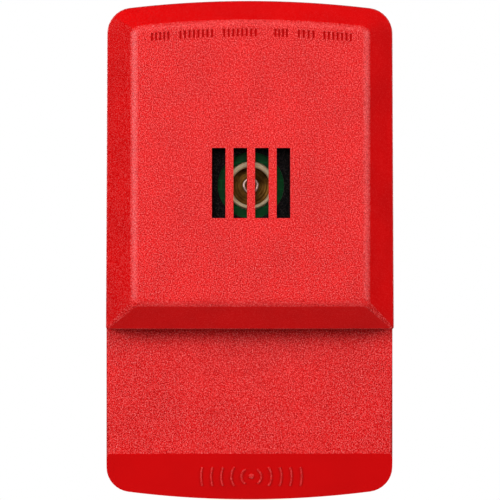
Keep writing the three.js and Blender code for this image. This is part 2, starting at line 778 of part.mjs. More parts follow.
function terminalBlock() {
  const half = (TERMINAL_COUNT * TERMINAL_PITCH) / 2 + 1;
  const body = block(
    [-half, half],
    [TERMINAL_FRONT, TERMINAL_REAR],
    [TERMINAL_BOTTOM, TERMINAL_TOP],
  );
  const open = [TERMINAL_FRONT - OVERSHOOT, TERMINAL_FLOOR];
  const stripRoom = [TERMINAL_FLOOR - 1.5, TERMINAL_FLOOR];
  const cutters = terminalPlaces().flatMap((x) => [
    block([x - 4, x + 4], open, [TERMINAL_SCREW_Z - 5, TERMINAL_TOP + OVERSHOOT]),
    block([x - 1.6, x + 1.6], open, [PIN_Z - 1.6, PIN_Z + 1.6]),
    block([x - 3.6, x + 3.6], stripRoom, [PIN_Z - 3, TERMINAL_SCREW_Z]),
    rod(1.5, [TERMINAL_FLOOR - OVERSHOOT, TERMINAL_SCREW_TIP + GAP], x, TERMINAL_SCREW_Z),
  ]);
  return cut(body, cutters);
}

function terminalStrip() {
  const strip = block([-3.3, 3.3], STRIP_SPAN, [PIN_Z - 2.7, TERMINAL_TOP - 1]);
  return strip.subtract(rod(1.5, [-8, -5], 0, TERMINAL_SCREW_Z));
}

function clampPlate() {
  const plate = block([-3, 3], CLAMP_SPAN, [-3, 3.6]);
  const lip = block([-3, 3], [CLAMP_LIP_FRONT, CLAMP_SPAN[1]], [3, 3.6]);
  return plate.add(lip).subtract(rod(1.5, [-10, -6]));
}

function lockNut() {
  const half = [-LOCK_NUT.half, LOCK_NUT.half];
  return block(half, half, [LOCK_NUT.bottom, LOCK_NUT.top])
    .subtract(uprightRod(LOCK_HOLE_RADIUS, [-90, -85], 0, 0));
}

// ---------------------------------------------------------------- assembly

const horn = new THREE.Group();
const head = new THREE.Group();
const plate = new THREE.Group();
horn.add(head, plate);

const soundCentre = [SOUND_X, 0, SOUND_Z];
add(head, 'front_cover', frontCover(), redPlastic());
add(head, 'baffle_gasket', soundFrame(GASKET_REAR, GASKET_FRONT, 2.4, 0.6), foam(), soundCentre);
add(head, 'sound_baffle', soundBaffle(), blackPlastic(), soundCentre);
add(head, 'circuit_board', circuitBoard(), greenBoard());
add(head, 'port_ring', portRing(), tanPlastic(), soundCentre);
add(head, 'sounder_diaphragm', soundDiaphragm(), brass(), soundCentre);
add(head, 'centre_eyelet', centreEyelet(), steel(), soundCentre);
add(head, 'piezo_ceramic', piezoCeramic(), ceramic(), soundCentre);
add(head, 'sounder_cup', soundCup(), blackPlastic(), soundCentre);
add(head, 'sounder_lead_red', sounderLead(-4), finish(0xc01818, 0.5));
add(head, 'sounder_lead_black', sounderLead(4), finish(0x141414, 0.5));
add(head, 'rear_chassis', rearChassis(), blackPlastic());
add(head, 'coil_core', coilCore(), ferrite(), [-23, PART_SEAT, 0]);
add(head, 'coil_winding', coilWinding(), copper(), [-23, PART_SEAT, 0]);
add(head, 'capacitor_large', capacitor(5, 16), greyPlastic(), [23, PART_SEAT, 0]);
add(head, 'capacitor_small', capacitor(3.2, 9), greyPlastic(), [25, PART_SEAT, 46]);
add(head, 'driver_chip', driverChip(), blackPlastic(), [-22, PART_SEAT, 46]);
add(head, 'transistor', transistor(), blackPlastic(), [4, PART_SEAT, 53.2]);

for (const { name, x } of SWITCHES) {
  add(head, `${name}_switch_body`, switchBody(), greyPlastic(), [x, 0, SWITCH_Z]);
  add(head, `${name}_knob`, switchKnob(), whitePlastic(), [x, 0, SWITCH_Z]);
}

const chassisScrewLength = 8;
CHASSIS_SCREWS.forEach(([x, z], index) => {
  const screw = panScrew(2.6, 2, 1.2, chassisScrewLength);
  const tip = CHASSIS_REAR + GAP - chassisScrewLength;
  add(head, `chassis_screw_${index + 1}`, screw, steel(), [x, tip, z]);
});
const boardScrewLength = 7;
BOARD_SCREWS.forEach(([x, z], index) => {
  const screw = mirroredToFront(panScrew(2.4, 1.6, 1.1, boardScrewLength));
  const tip = BOARD_FRONT - GAP + boardScrewLength;
  add(head, `board_screw_${index + 1}`, screw, steel(), [x, tip, z]);
});

const lockScrew = turnedDown(panScrew(3.1, 2.2, 1.5, LOCK_SHANK));
add(head, 'lock_nut', lockNut(), steel(), [0, LOCK_Y, 0]);
add(head, 'lock_screw', lockScrew, steel(), [0, LOCK_Y, LOCK_SEAT - GAP + LOCK_SHANK]);

add(plate, 'mounting_plate', mountingPlate(), redPlastic());
add(plate, 'terminal_block', terminalBlock(), blackPlastic());
terminalPlaces().forEach((x, index) => {
  const number = index + 1;
  add(head, `contact_pin_${number}`, contactPin(), brass(), [x, 0, PIN_Z]);
  add(plate, `terminal_strip_${number}`, terminalStrip(), brass(), [x, 0, 0]);
  const screw = mirroredToFront(panScrew(2.6, 1.9, 1.2, 5));
  add(plate, `terminal_screw_${number}`, screw, steel(), [x, TERMINAL_SCREW_TIP, TERMINAL_SCREW_Z]);
  add(plate, `clamp_plate_${number}`, clampPlate(), steel(), [x, 0, TERMINAL_SCREW_Z]);
});

export default horn;
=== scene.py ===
"""A wall-mounted fire alarm horn: moulded red cover, sounder behind four slots, wired plate."""

import math

import bpy
from mathutils import Matrix, Vector


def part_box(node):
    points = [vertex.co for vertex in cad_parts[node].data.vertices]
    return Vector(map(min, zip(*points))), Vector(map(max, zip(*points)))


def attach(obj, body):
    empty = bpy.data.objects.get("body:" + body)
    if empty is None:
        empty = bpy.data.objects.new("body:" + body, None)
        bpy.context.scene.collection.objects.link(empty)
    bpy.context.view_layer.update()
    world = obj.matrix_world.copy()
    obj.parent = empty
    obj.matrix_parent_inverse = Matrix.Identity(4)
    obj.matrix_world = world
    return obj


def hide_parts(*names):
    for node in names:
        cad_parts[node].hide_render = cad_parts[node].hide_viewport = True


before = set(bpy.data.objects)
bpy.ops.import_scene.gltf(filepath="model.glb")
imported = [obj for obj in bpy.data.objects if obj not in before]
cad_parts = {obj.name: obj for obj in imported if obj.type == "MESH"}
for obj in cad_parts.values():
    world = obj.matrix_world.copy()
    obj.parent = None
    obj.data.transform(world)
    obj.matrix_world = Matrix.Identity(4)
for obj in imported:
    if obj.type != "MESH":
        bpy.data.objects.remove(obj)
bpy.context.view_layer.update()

bl_info = {
    "name": "Alarm Horn",
    "version": (1, 0, 0),
    "blender": (4, 5, 0),
    "location": "View3D > Sidebar > Alarm Horn",
    "description": "Builds the finished pieces of a wall-mounted alarm horn on its mechanical frame",
    "category": "Add Mesh",
}

MM = 0.001
GAP = 0.3 * MM

# Places that the frame gives, in metres.
COVER_LOW, COVER_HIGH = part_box("front_cover")
RING_LOW, RING_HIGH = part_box("port_ring")
DISC_LOW, DISC_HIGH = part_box("sounder_diaphragm")
EYELET_LOW, EYELET_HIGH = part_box("centre_eyelet")
SCREW_BOXES = [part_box(f"chassis_screw_{number}") for number in range(1, 5)]
BOSS_PLACES = [((low.x + high.x) / 2, (low.z + high.z) / 2) for low, high in SCREW_BOXES]
LOCK_Y = sum(corner.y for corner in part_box("lock_screw")) / 2
BOARD_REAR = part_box("circuit_board")[1].y
SOUND = (DISC_LOW + DISC_HIGH) / 2
HALF_WIDTH = COVER_HIGH.x - 0.01 * MM
CREST = COVER_HIGH.z - 0.01 * MM
REAR = COVER_HIGH.y
FACE = COVER_LOW.y


# ---------------------------------------------------------------- settings a user may change


class HornSizes(bpy.types.PropertyGroup):
    """Sizes of the moulded cover, in metres."""

    wall: bpy.props.FloatProperty(
        name="Wall", description="Thickness of the moulded wall", default=2.5 * MM, unit="LENGTH"
    )
    ridge: bpy.props.FloatProperty(
        name="Ridge", description="Width of the rounding where the slopes meet the face",
        default=2.2 * MM, unit="LENGTH",
    )
    panel_edge: bpy.props.FloatProperty(
        name="Panel edge", description="Radius of the lower panel's outer edge",
        default=1.5 * MM, unit="LENGTH",
    )
    slot_width: bpy.props.FloatProperty(
        name="Slot width", description="Width of one sound slot", default=5.3 * MM, unit="LENGTH"
    )
    slot_pitch: bpy.props.FloatProperty(
        name="Slot pitch", description="Distance from slot to slot", default=8.4 * MM, unit="LENGTH"
    )
    tick_height: bpy.props.FloatProperty(
        name="Tick height", description="Height of the sunk tick marks", default=3.1 * MM, unit="LENGTH"
    )


class HornColours(bpy.types.PropertyGroup):
    """Colours of the visible materials."""

    body: bpy.props.StringProperty(
        name="Body", description="Colour of the red moulding, as an sRGB hex value", default="CF0103"
    )
    board: bpy.props.StringProperty(
        name="Board", description="Colour of the solder mask, as an sRGB hex value", default="06401C"
    )
    collar: bpy.props.StringProperty(
        name="Collar", description="Colour of the nylon collar, as an sRGB hex value", default="B9A883"
    )


def sizes():
    return bpy.context.scene.horn_sizes


def colours():
    return bpy.context.scene.horn_colours


# ---------------------------------------------------------------- material nodes


def linear(hex_colour):
    """An sRGB hex colour as linear red, green, blue and alpha."""
    channels = []
    for start in (0, 2, 4):
        value = int(hex_colour[start:start + 2], 16) / 255
        channels.append(value / 12.92 if value <= 0.04045 else ((value + 0.055) / 1.055) ** 2.4)
    return (*channels, 1.0)


def add_node(tree, kind, inputs=None, **settings):
    """Adds a node with its settings; an input is a value, or a socket to link."""
    made = tree.nodes.new(kind)
    for name, value in settings.items():
        setattr(made, name, value)
    for name, value in (inputs or {}).items():
        socket = made.inputs[name]
        if isinstance(value, bpy.types.NodeSocket):
            tree.links.new(value, socket)
        else:
            socket.default_value = value
    return made


def new_material(name, **shader_values):
    """An empty material with its shader; returns the material, its tree and the shader."""
    material = bpy.data.materials.new(name)
    material.use_nodes = True
    tree = material.node_tree
    shader = tree.nodes["Principled BSDF"]
    for socket, value in shader_values.items():
        shader.inputs[socket.replace("_", " ")].default_value = value
    return material, tree, shader


def mottled(tree, shader, place, dark, light, scale):
    """Slow colour variation, as uneven pigment or handling gives."""
    cloud = add_node(tree, "ShaderNodeTexNoise", {"Vector": place, "Scale": scale, "Detail": 3.0})
    ramp = add_node(tree, "ShaderNodeValToRGB", {"Fac": cloud.outputs["Fac"]})
    ramp.color_ramp.elements[0].position = 0.3
    ramp.color_ramp.elements[0].color = linear(dark)
    ramp.color_ramp.elements[1].position = 0.7
    ramp.color_ramp.elements[1].color = linear(light)
    tree.links.new(ramp.outputs["Color"], shader.inputs["Base Color"])
    return ramp


def shaded(hex_colour, factor):
    """The same hex colour, darker or lighter by a factor."""
    parts = [min(255, round(int(hex_colour[start:start + 2], 16) * factor)) for start in (0, 2, 4)]
    return "".join(f"{part:02X}" for part in parts)


def grained_abs(name, colour, grain_mm=0.46, depth_mm=0.16, rough=0.34, gloss=0.12, painted_light_amount=0.33):
    """ABS moulded in a spark-eroded tool: an even, sandy grain. Pale glints are painted into the
    colour on the tops of the grain, and painted shade darkens the hollows between them."""
    material, tree, shader = new_material(
        name, Roughness=rough, IOR=1.53, Specular_IOR_Level=gloss)
    place = add_node(tree, "ShaderNodeTexCoord").outputs["Object"]
    ramp = mottled(tree, shader, place, shaded(colour, 0.97), shaded(colour, 1.03), 60)
    # The real grain is about 0.3 mm; it is drawn coarser so that it shows.
    grain = add_node(tree, "ShaderNodeTexNoise", {
        "Vector": place, "Scale": 1.0 / (grain_mm * MM), "Detail": 2.0, "Roughness": 0.8,
    })
    # Painted shade: the colour is darkened in the hollows between the tops of the grain.
    painted_gap_shade = add_node(tree, "ShaderNodeMapRange", {
        "Value": grain.outputs["Fac"], "From Min": 0.3, "From Max": 0.5,
        "To Min": 1.0 - 2.4 * painted_light_amount, "To Max": 1.0,
    })
    darker = add_node(tree, "ShaderNodeMix", {
        "Factor": 1.0, 6: ramp.outputs["Color"], 7: painted_gap_shade.outputs["Result"],
    }, data_type="RGBA", blend_type="MULTIPLY")
    # Painted highlight: the tops of the grain are mixed towards pale pink, as glints.
    tops = add_node(tree, "ShaderNodeMapRange", {
        "Value": grain.outputs["Fac"], "From Min": 0.5, "From Max": 0.75,
        "To Min": 0.0, "To Max": 0.7 * painted_light_amount,
    })
    painted_glints = add_node(tree, "ShaderNodeMix", {
        "Factor": tops.outputs["Result"], 6: darker.outputs[2], 7: (1.0, 0.75, 0.72, 1.0),
    }, data_type="RGBA")
    tree.links.new(painted_glints.outputs[2], shader.inputs["Base Color"])
    bump = add_node(tree, "ShaderNodeBump", {
        "Height": grain.outputs["Fac"], "Strength": 1.0, "Distance": depth_mm * MM,
    })
    tree.links.new(bump.outputs["Normal"], shader.inputs["Normal"])
    return material


def polished_abs(name, colour, rough=0.3, gloss=0.5):
    """ABS moulded against a polished tool: smooth and deep in colour, with a faint long waviness."""
    material, tree, shader = new_material(
        name, Roughness=rough, IOR=1.53, Specular_IOR_Level=gloss)
    place = add_node(tree, "ShaderNodeTexCoord").outputs["Object"]
    mottled(tree, shader, place, shaded(colour, 0.98), shaded(colour, 1.02), 40)
    waves = add_node(tree, "ShaderNodeTexNoise", {"Vector": place, "Scale": 220.0, "Detail": 1.0})
    bump = add_node(tree, "ShaderNodeBump", {
        "Height": waves.outputs["Fac"], "Strength": 0.12, "Distance": 0.04 * MM,
    })
    tree.links.new(bump.outputs["Normal"], shader.inputs["Normal"])
    return material


def plated_metal(name, colour, rough, scratch_mm=0.25):
    """Sheet or turned metal with a thin bright plating: fine rubbed marks break up the gloss."""
    material, tree, shader = new_material(name, Metallic=1.0, Roughness=rough)
    place = add_node(tree, "ShaderNodeTexCoord").outputs["Object"]
    mottled(tree, shader, place, shaded(colour, 0.88), shaded(colour, 1.06), 350)
    marks = add_node(tree, "ShaderNodeTexNoise", {
        "Vector": place, "Scale": 0.6 / (scratch_mm * MM), "Detail": 4.0, "Roughness": 0.7,
    })
    spread = add_node(tree, "ShaderNodeMapRange", {
        "Value": marks.outputs["Fac"], "To Min": rough * 0.6, "To Max": rough * 1.5,
    })
    tree.links.new(spread.outputs["Result"], shader.inputs["Roughness"])
    bump = add_node(tree, "ShaderNodeBump", {
        "Height": marks.outputs["Fac"], "Strength": 0.15, "Distance": 0.008 * MM,
    })
    tree.links.new(bump.outputs["Normal"], shader.inputs["Normal"])
    return material


def spun_brass(name, centre):
    """Thin rolled brass, pressed and turned: fine circles round its centre and a brown tarnish."""
    material, tree, shader = new_material(name, Metallic=1.0, Roughness=0.38)
    place = add_node(tree, "ShaderNodeTexCoord").outputs["Object"]
    centred = add_node(tree, "ShaderNodeMapping", {"Vector": place, "Location": -centre})
    circles = add_node(tree, "ShaderNodeTexWave", {
        "Vector": centred.outputs["Vector"], "Scale": 700.0, "Distortion": 0.6, "Detail": 2.0,
    }, wave_type="RINGS", rings_direction="Y")
    tarnish = add_node(tree, "ShaderNodeTexNoise", {"Vector": place, "Scale": 180.0, "Detail": 5.0})
    ramp = add_node(tree, "ShaderNodeValToRGB", {"Fac": tarnish.outputs["Fac"]})
    ramp.color_ramp.elements[0].position = 0.35
    ramp.color_ramp.elements[0].color = linear("3A240C")
    ramp.color_ramp.elements[1].position = 0.7
    ramp.color_ramp.elements[1].color = linear("7A5526")
    tree.links.new(ramp.outputs["Color"], shader.inputs["Base Color"])
    bump = add_node(tree, "ShaderNodeBump", {
        "Height": circles.outputs["Fac"], "Strength": 0.5, "Distance": 0.06 * MM,
    })
    tree.links.new(bump.outputs["Normal"], shader.inputs["Normal"])
    return material


def solder_mask(name, colour):
    """Glass-epoxy board under green solder mask: glossy, with copper tracks that show as paths
    of a lighter green."""
    material, tree, shader = new_material(name, Roughness=0.3, IOR=1.5, Specular_IOR_Level=0.06)
    place = add_node(tree, "ShaderNodeTexCoord").outputs["Object"]
    cells = add_node(tree, "ShaderNodeTexBrick", {
        "Vector": add_node(tree, "ShaderNodeMapping", {
            "Vector": place, "Rotation": (math.radians(90), 0, 0),
        }).outputs["Vector"],
        "Scale": 120.0, "Mortar Size": 0.035, "Mortar Smooth": 0.1, "Brick Width": 0.9,
        "Row Height": 0.42, "Color1": linear(colour), "Color2": linear(shaded(colour, 0.9)),
        "Mortar": linear(shaded(colour, 1.15)),
    })
    tree.links.new(cells.outputs["Color"], shader.inputs["Base Color"])
    bump = add_node(tree, "ShaderNodeBump", {
        "Height": cells.outputs["Fac"], "Strength": 0.3, "Distance": 0.04 * MM,
    })
    tree.links.new(bump.outputs["Normal"], shader.inputs["Normal"])
    return material


def natural_nylon(name, colour):
    """Unpigmented nylon: waxy, slightly see-through cream with faint flow lines."""
    material, tree, shader = new_material(
        name, Roughness=0.38, IOR=1.53, Subsurface_Weight=0.15, Subsurface_Scale=0.8 * MM
    )
    place = add_node(tree, "ShaderNodeTexCoord").outputs["Object"]
    mottled(tree, shader, place, shaded(colour, 0.92), shaded(colour, 1.05), 250)
    flow = add_node(tree, "ShaderNodeTexNoise", {"Vector": place, "Scale": 900.0, "Detail": 2.0})
    bump = add_node(tree, "ShaderNodeBump", {
        "Height": flow.outputs["Fac"], "Strength": 0.2, "Distance": 0.03 * MM,
    })
    tree.links.new(bump.outputs["Normal"], shader.inputs["Normal"])
    return material


def closed_cell_foam(name, colour):
    """Die-cut neoprene foam: dull, with open cells on its cut edges."""
    material, tree, shader = new_material(name, Roughness=0.95, IOR=1.45)
    place = add_node(tree, "ShaderNodeTexCoord").outputs["Object"]
    mottled(tree, shader, place, shaded(colour, 0.8), shaded(colour, 1.2), 500)
    cells = add_node(tree, "ShaderNodeTexVoronoi", {"Vector": place, "Scale": 1600.0})
    bump = add_node(tree, "ShaderNodeBump", {
        "Height": cells.outputs["Distance"], "Strength": 0.8, "Distance": 0.15 * MM,
    })
    tree.links.new(bump.outputs["Normal"], shader.inputs["Normal"])
    return material


def wound_wire(name, colour):
    """Enamelled copper wire wound in close turns, 0.35 mm apart: fine ridges round the core."""
    material, tree, shader = new_material(name, Metallic=0.85, Roughness=0.3)
    place = add_node(tree, "ShaderNodeTexCoord").outputs["Object"]
    turns = add_node(tree, "ShaderNodeTexWave", {"Vector": place, "Scale": 900.0},
                     wave_type="BANDS", bands_direction="Y")
    mottled(tree, shader, place, shaded(colour, 0.85), shaded(colour, 1.1), 400)
    bump = add_node(tree, "ShaderNodeBump", {
        "Height": turns.outputs["Fac"], "Strength": 0.9, "Distance": 0.12 * MM,
    })
    tree.links.new(bump.outputs["Normal"], shader.inputs["Normal"])
    return material


FINISHES = {}


def finish(name):
    """The named finish, made the first time it is asked for."""
    makers = {
        "red grain": lambda: grained_abs("ABS_spark_grained_red", colours().body),
        # The bevel: smooth red, darkened as painted shade because it faces down.
        "red polish": lambda: polished_abs("ABS_polished_red_shaded", shaded(colours().body, 0.93), 0.4, 0.05),
        # Top, right and bottom slopes: a slightly darker copy with faint painted glints and a shallower
        # grain, as painted shade.
        "red slope": lambda: grained_abs(
            "ABS_slope_shaded_red", shaded(colours().body, 0.98), 0.46, 0.05, 0.45, 0.07, 0.04),
        # The left slope: a darker copy with fewer painted glints, as painted shade.
        "red side": lambda: grained_abs(
            "ABS_left_slope_shaded_red", shaded(colours().body, 0.96), 0.46, 0.12, 0.4, 0.05, 0.15),
        # Ridges and slot edges: a glossier copy that strengthens their highlight, with painted glints.
        "red ridge": lambda: grained_abs(
            "ABS_glossy_ridge_red", shaded(colours().body, 1.0), 0.46, 0.1, 0.34, 0.24, 0.24),
        # Floors of the tick marks: smooth red, darkened as painted shade in the recesses.
        "red recess": lambda: polished_abs("ABS_recess_shaded_red", shaded(colours().body, 0.86), 0.5, 0.05),
        "red satin": lambda: grained_abs(
            "ABS_satin_red", shaded(colours().body, 0.95), 0.4, 0.04, 0.45, 0.3, 0.06),
        "black grain": lambda: grained_abs("ABS_grained_black", "0A0A0B", 0.5, 0.08, 0.45, 0.25, 0.02),
        "chamber grain": lambda: grained_abs("ABS_matt_black", "040405", 0.6, 0.3, 0.4, 0.06, 0.05),
        "black epoxy": lambda: grained_abs("epoxy_moulded_black", "161618", 0.25, 0.02, 0.6, 0.4, 0.02),
        "foam": lambda: closed_cell_foam("neoprene_foam_black", "1B1B1D"),
        "solder mask": lambda: solder_mask("glass_epoxy_solder_mask", colours().board),
        "nylon": lambda: natural_nylon("nylon_natural", colours().collar),
        "brass disc": lambda: spun_brass("brass_spun_tarnished", SOUND),
        "brass": lambda: plated_metal("brass_stamped", "C79A4B", 0.3),
        "nickel": lambda: plated_metal("nickel_bright", "D9BDB2", 0.3),
        "zinc": lambda: plated_metal("steel_zinc_plated", "C3C6C8", 0.32),
        "ceramic": lambda: polished_abs("piezo_ceramic_silvered", "DAD3C2", 0.45),
        "ferrite": lambda: grained_abs("ferrite_sintered", "2B2B2E", 0.3, 0.03, 0.65, 0.4, 0.05),
        "copper": lambda: wound_wire("copper_enamelled", "B5622F"),
        "sleeve": lambda: polished_abs("PVC_sleeve_navy", "1C2436", 0.25),
        "red wire": lambda: polished_abs("PVC_wire_red", "A81414", 0.4),
        "black wire": lambda: polished_abs("PVC_wire_black", "121212", 0.4),
        "grey moulding": lambda: grained_abs("nylon_glass_filled_grey", "55585B", 0.3, 0.02, 0.5, 0.4, 0.03),
        "white moulding": lambda: grained_abs("acetal_white", "E4E2DA", 0.3, 0.015, 0.4, 0.4, 0.01),
    }
    if name not in FINISHES:
        FINISHES[name] = makers[name]()
    return FINISHES[name]


# ---------------------------------------------------------------- modelling by hand


def deselect():
    """Object mode, with nothing selected."""
    if bpy.context.object and bpy.context.object.mode != "OBJECT":
        bpy.ops.object.mode_set(mode="OBJECT")
    bpy.ops.object.select_all(action="DESELECT")


def activate(piece):
    deselect()
    piece.select_set(True)
    bpy.context.view_layer.objects.active = piece


def select_where(piece, kind, test):
    """In edit mode, selects the verts, edges or faces for which the test holds."""
    bpy.ops.object.mode_set(mode="EDIT")
    bpy.ops.mesh.select_mode(type={"verts": "VERT", "edges": "EDGE", "faces": "FACE"}[kind])
    bpy.ops.mesh.select_all(action="DESELECT")
    bpy.ops.object.mode_set(mode="OBJECT")
    mesh = piece.data
    if kind == "verts":
        for vertex in mesh.vertices:
            vertex.select = test(vertex.co)
    elif kind == "edges":
        for edge in mesh.edges:
            edge.select = test(*(mesh.vertices[index].co for index in edge.vertices))
    else:
        for face in mesh.polygons:
            face.select = test(face.center, face.normal)
    bpy.ops.object.mode_set(mode="EDIT")


def start_vertex(name, point):
    """A new piece in edit mode that holds one selected vertex."""
    deselect()
    bpy.ops.mesh.primitive_plane_add(size=MM, location=(0, 0, 0))
    piece = bpy.context.object
    piece.name = name
    bpy.ops.object.mode_set(mode="EDIT")
    bpy.ops.mesh.select_mode(type="VERT")
    bpy.ops.mesh.select_all(action="SELECT")
    bpy.ops.mesh.merge(type="CENTER")
    bpy.ops.transform.translate(value=point)
    return piece


def line_to(start, end):
    """Draws a straight edge from the selected vertex."""
    bpy.ops.mesh.extrude_region_move(TRANSFORM_OT_translate={"value": Vector(end) - Vector(start)})


def arc(centre, angle, steps):
    """Draws an arc from the selected vertex about a point of the front plane."""
    bpy.ops.mesh.spin(steps=steps, angle=angle, center=centre, axis=(0, 1, 0), use_auto_merge=False)


def draw_outline(depth, halves, top, bottom, radii, corners):
    """Draws one closed outline at a depth: the crests are arcs, or straight without a radius.
    Half widths, radii and corners are pairs, for the top and the bottom."""
    edges = []
    for side, half, crest, radius, corner in (
        (1, halves[0], top, radii[0], corners[0]),
        (-1, halves[1], -bottom, radii[1], corners[1]),
    ):
        across = half - corner
        if radius:
            height = crest - radius + math.sqrt((radius - corner) ** 2 - across ** 2)
            turn = math.atan2(height - crest + radius, across)
        else:
            height = crest - corner
            turn = math.pi / 2
        edges.append((side, half, crest, radius, corner, across, height, turn))
    first, second = (Vector((side * half, depth, side * height))
                     for side, half, _, _, _, _, height, _ in edges)
    for side, half, crest, radius, corner, across, height, turn in edges:
        if side == 1:
            bpy.ops.mesh.primitive_plane_add(size=MM, location=(0, 0, 0))
            bpy.ops.mesh.merge(type="CENTER")
            bpy.ops.transform.translate(value=first)
        else:
            line_to(Vector((-first.x, depth, first.z)), second)
        arc((side * across, depth, side * height), turn, 8)
        end = Vector((across + corner * math.cos(turn), 0, height + corner * math.sin(turn))) * side
        if radius:
            arc((0, depth, side * (crest - radius)), math.pi - 2 * turn, 24)
        else:
            for _ in range(24):
                line_to((0, 0, 0), (-2 * end.x / 24, 0, 0))
        arc((-side * across, depth, side * height), turn, 8)
    line_to(Vector((-second.x, depth, second.z)), first)


def loft(name, outlines):
    """A closed solid over outlines that follow each other from the rear to the front."""
    deselect()
    bpy.ops.mesh.primitive_plane_add(size=MM, location=(0, 0, 0))
    piece = bpy.context.object
    piece.name = name
    bpy.ops.object.mode_set(mode="EDIT")
    bpy.ops.mesh.select_mode(type="VERT")
    bpy.ops.mesh.delete(type="VERT")
    for outline in outlines:
        bpy.ops.mesh.select_all(action="DESELECT")
        draw_outline(**outline)
    bpy.ops.mesh.select_all(action="SELECT")
    bpy.ops.mesh.remove_doubles(threshold=0.005 * MM)
    depths = [outline["depth"] for outline in outlines]
    for rear, front in zip(depths, depths[1:]):
        select_where(piece, "edges", lambda a, b: all(
            min(abs(point.y - rear), abs(point.y - front)) < 0.01 * MM for point in (a, b)))
        bpy.ops.mesh.bridge_edge_loops()
    for depth in (depths[0], depths[-1]):
        select_where(piece, "edges", lambda a, b: all(abs(p.y - depth) < 0.01 * MM for p in (a, b)))
        bpy.ops.mesh.edge_face_add()
    bpy.ops.mesh.select_all(action="SELECT")
    bpy.ops.mesh.normals_make_consistent(inside=False)
    bpy.ops.object.mode_set(mode="OBJECT")
    return piece


def box(name, low, high, round_edge=0.0, segments=2):
    """A block with its place in its mesh, its edges rounded in edit mode."""
    deselect()
    low, high = Vector(low), Vector(high)
    bpy.ops.mesh.primitive_cube_add(size=1, location=(low + high) / 2, scale=high - low)
    piece = bpy.context.object
    piece.name = name
    bpy.ops.object.transform_apply(location=True, rotation=True, scale=True)
    if round_edge:
        bpy.ops.object.mode_set(mode="EDIT")
        bpy.ops.mesh.select_all(action="SELECT")
        bpy.ops.mesh.bevel(offset=round_edge, segments=segments, affect="EDGES")
        bpy.ops.object.mode_set(mode="OBJECT")
    return piece


def pin(name, radius, start, end, vertices=32):
    """A round bar from one point to another, both on a line along Y or along Z."""
    deselect()
    start, end = Vector(start), Vector(end)
    upright = abs(end.z - start.z) > abs(end.y - start.y)
    bpy.ops.mesh.primitive_cylinder_add(
        vertices=vertices, radius=radius, depth=(end - start).length, location=(start + end) / 2,
        rotation=(0 if upright else math.pi / 2, 0, 0),
    )
    piece = bpy.context.object
    piece.name = name
    bpy.ops.object.transform_apply(location=True, rotation=True, scale=True)
    return piece


def spun(name, profile, centre, steps=96):
    """Turns a closed profile of (radius, depth) points about the Y axis through a centre."""
    centre = Vector(centre)
    points = [Vector((centre.x + radius, depth, centre.z)) for radius, depth in profile]
    piece = start_vertex(name, points[0])
    for start, end in zip(points, points[1:] + points[:1]):
        line_to(start, end)
    bpy.ops.mesh.select_all(action="SELECT")
    bpy.ops.mesh.remove_doubles(threshold=0.001 * MM)
    bpy.ops.mesh.select_all(action="SELECT")
    bpy.ops.mesh.spin(steps=steps, angle=2 * math.pi, center=(centre.x, 0, centre.z), axis=(0, 1, 0),
                      use_auto_merge=False)
    bpy.ops.mesh.select_all(action="SELECT")
    bpy.ops.mesh.remove_doubles(threshold=0.002 * MM)
    bpy.ops.mesh.normals_make_consistent(inside=False)
    bpy.ops.object.mode_set(mode="OBJECT")
    return piece


def combine(piece, tool, operation):
    """Joins, cuts or keeps what is common, and removes the tool."""
    activate(piece)
    modifier = piece.modifiers.new("combine", "BOOLEAN")
    modifier.operation = operation
    modifier.solver = "EXACT"
    modifier.object = tool
    bpy.ops.object.modifier_apply(modifier=modifier.name)
    bpy.data.objects.remove(tool)


def join(pieces, name):
    """Makes one object of several that don't touch."""
    activate(pieces[0])
    for piece in pieces[1:]:
        piece.select_set(True)
    bpy.ops.object.join()
    joined = bpy.context.object
    joined.name = name
    return joined


def copy_to(piece, name, offset):
    """A copy with its own mesh, moved by an offset."""
    activate(piece)
    bpy.ops.object.duplicate()
    made = bpy.context.object
    made.name = name
    made.location = offset
    bpy.ops.object.transform_apply(location=True, rotation=True, scale=True)
    return made


def soften(piece, width, angle=35, segments=2):
    """Rounds every edge sharper than an angle."""
    activate(piece)
    modifier = piece.modifiers.new("soften", "BEVEL")
    modifier.width = width
    modifier.segments = segments
    modifier.limit_method = "ANGLE"
    modifier.angle_limit = math.radians(angle)
    modifier.use_clamp_overlap = True
    bpy.ops.object.modifier_apply(modifier=modifier.name)


def smooth(piece, angle=30):
    """Smooth shading up to an angle, with the large faces kept flat."""
    activate(piece)
    bpy.ops.object.shade_smooth_by_angle(angle=math.radians(angle))
    modifier = piece.modifiers.new("flat faces", "WEIGHTED_NORMAL")
    modifier.keep_sharp = True
    modifier.weight = 80
    bpy.ops.object.modifier_apply(modifier=modifier.name)


def paint(piece, *names):
    """Gives the piece its finishes, in slot order."""
    piece.data.materials.clear()
    for name in names:
        piece.data.materials.append(finish(name))


def install(piece, body, slot, *nodes):
    """Puts a finished piece on its body, in place of its CAD nodes."""
    deselect()
    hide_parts(*nodes)
    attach(piece, body)


# ---------------------------------------------------------------- front cover

# The outer shape.
DRAFT = math.tan(math.radians(1))
TOP_RADIUS = 400 * MM
BOTTOM_RADIUS = 370 * MM
CORNER = 10 * MM
TAPER = 0.5 * MM
PANEL = -28 * MM
SLOPE_EDGE = -41 * MM
RAISED_FOOT = -30.4 * MM
FACE_HALF = 45.3 * MM
FACE_CREST = 89.5 * MM
FACE_FOOT = -20.3 * MM
PANEL_HEAD = -24 * MM
BEVEL_LINE = -80 * MM
BEVEL_FOOT = -19 * MM
SLOPE_EDGE_ROUND = 0.7 * MM
INNER_EDGE_ROUND = 1 * MM
EDGE_SOFTNESS = 0.25 * MM

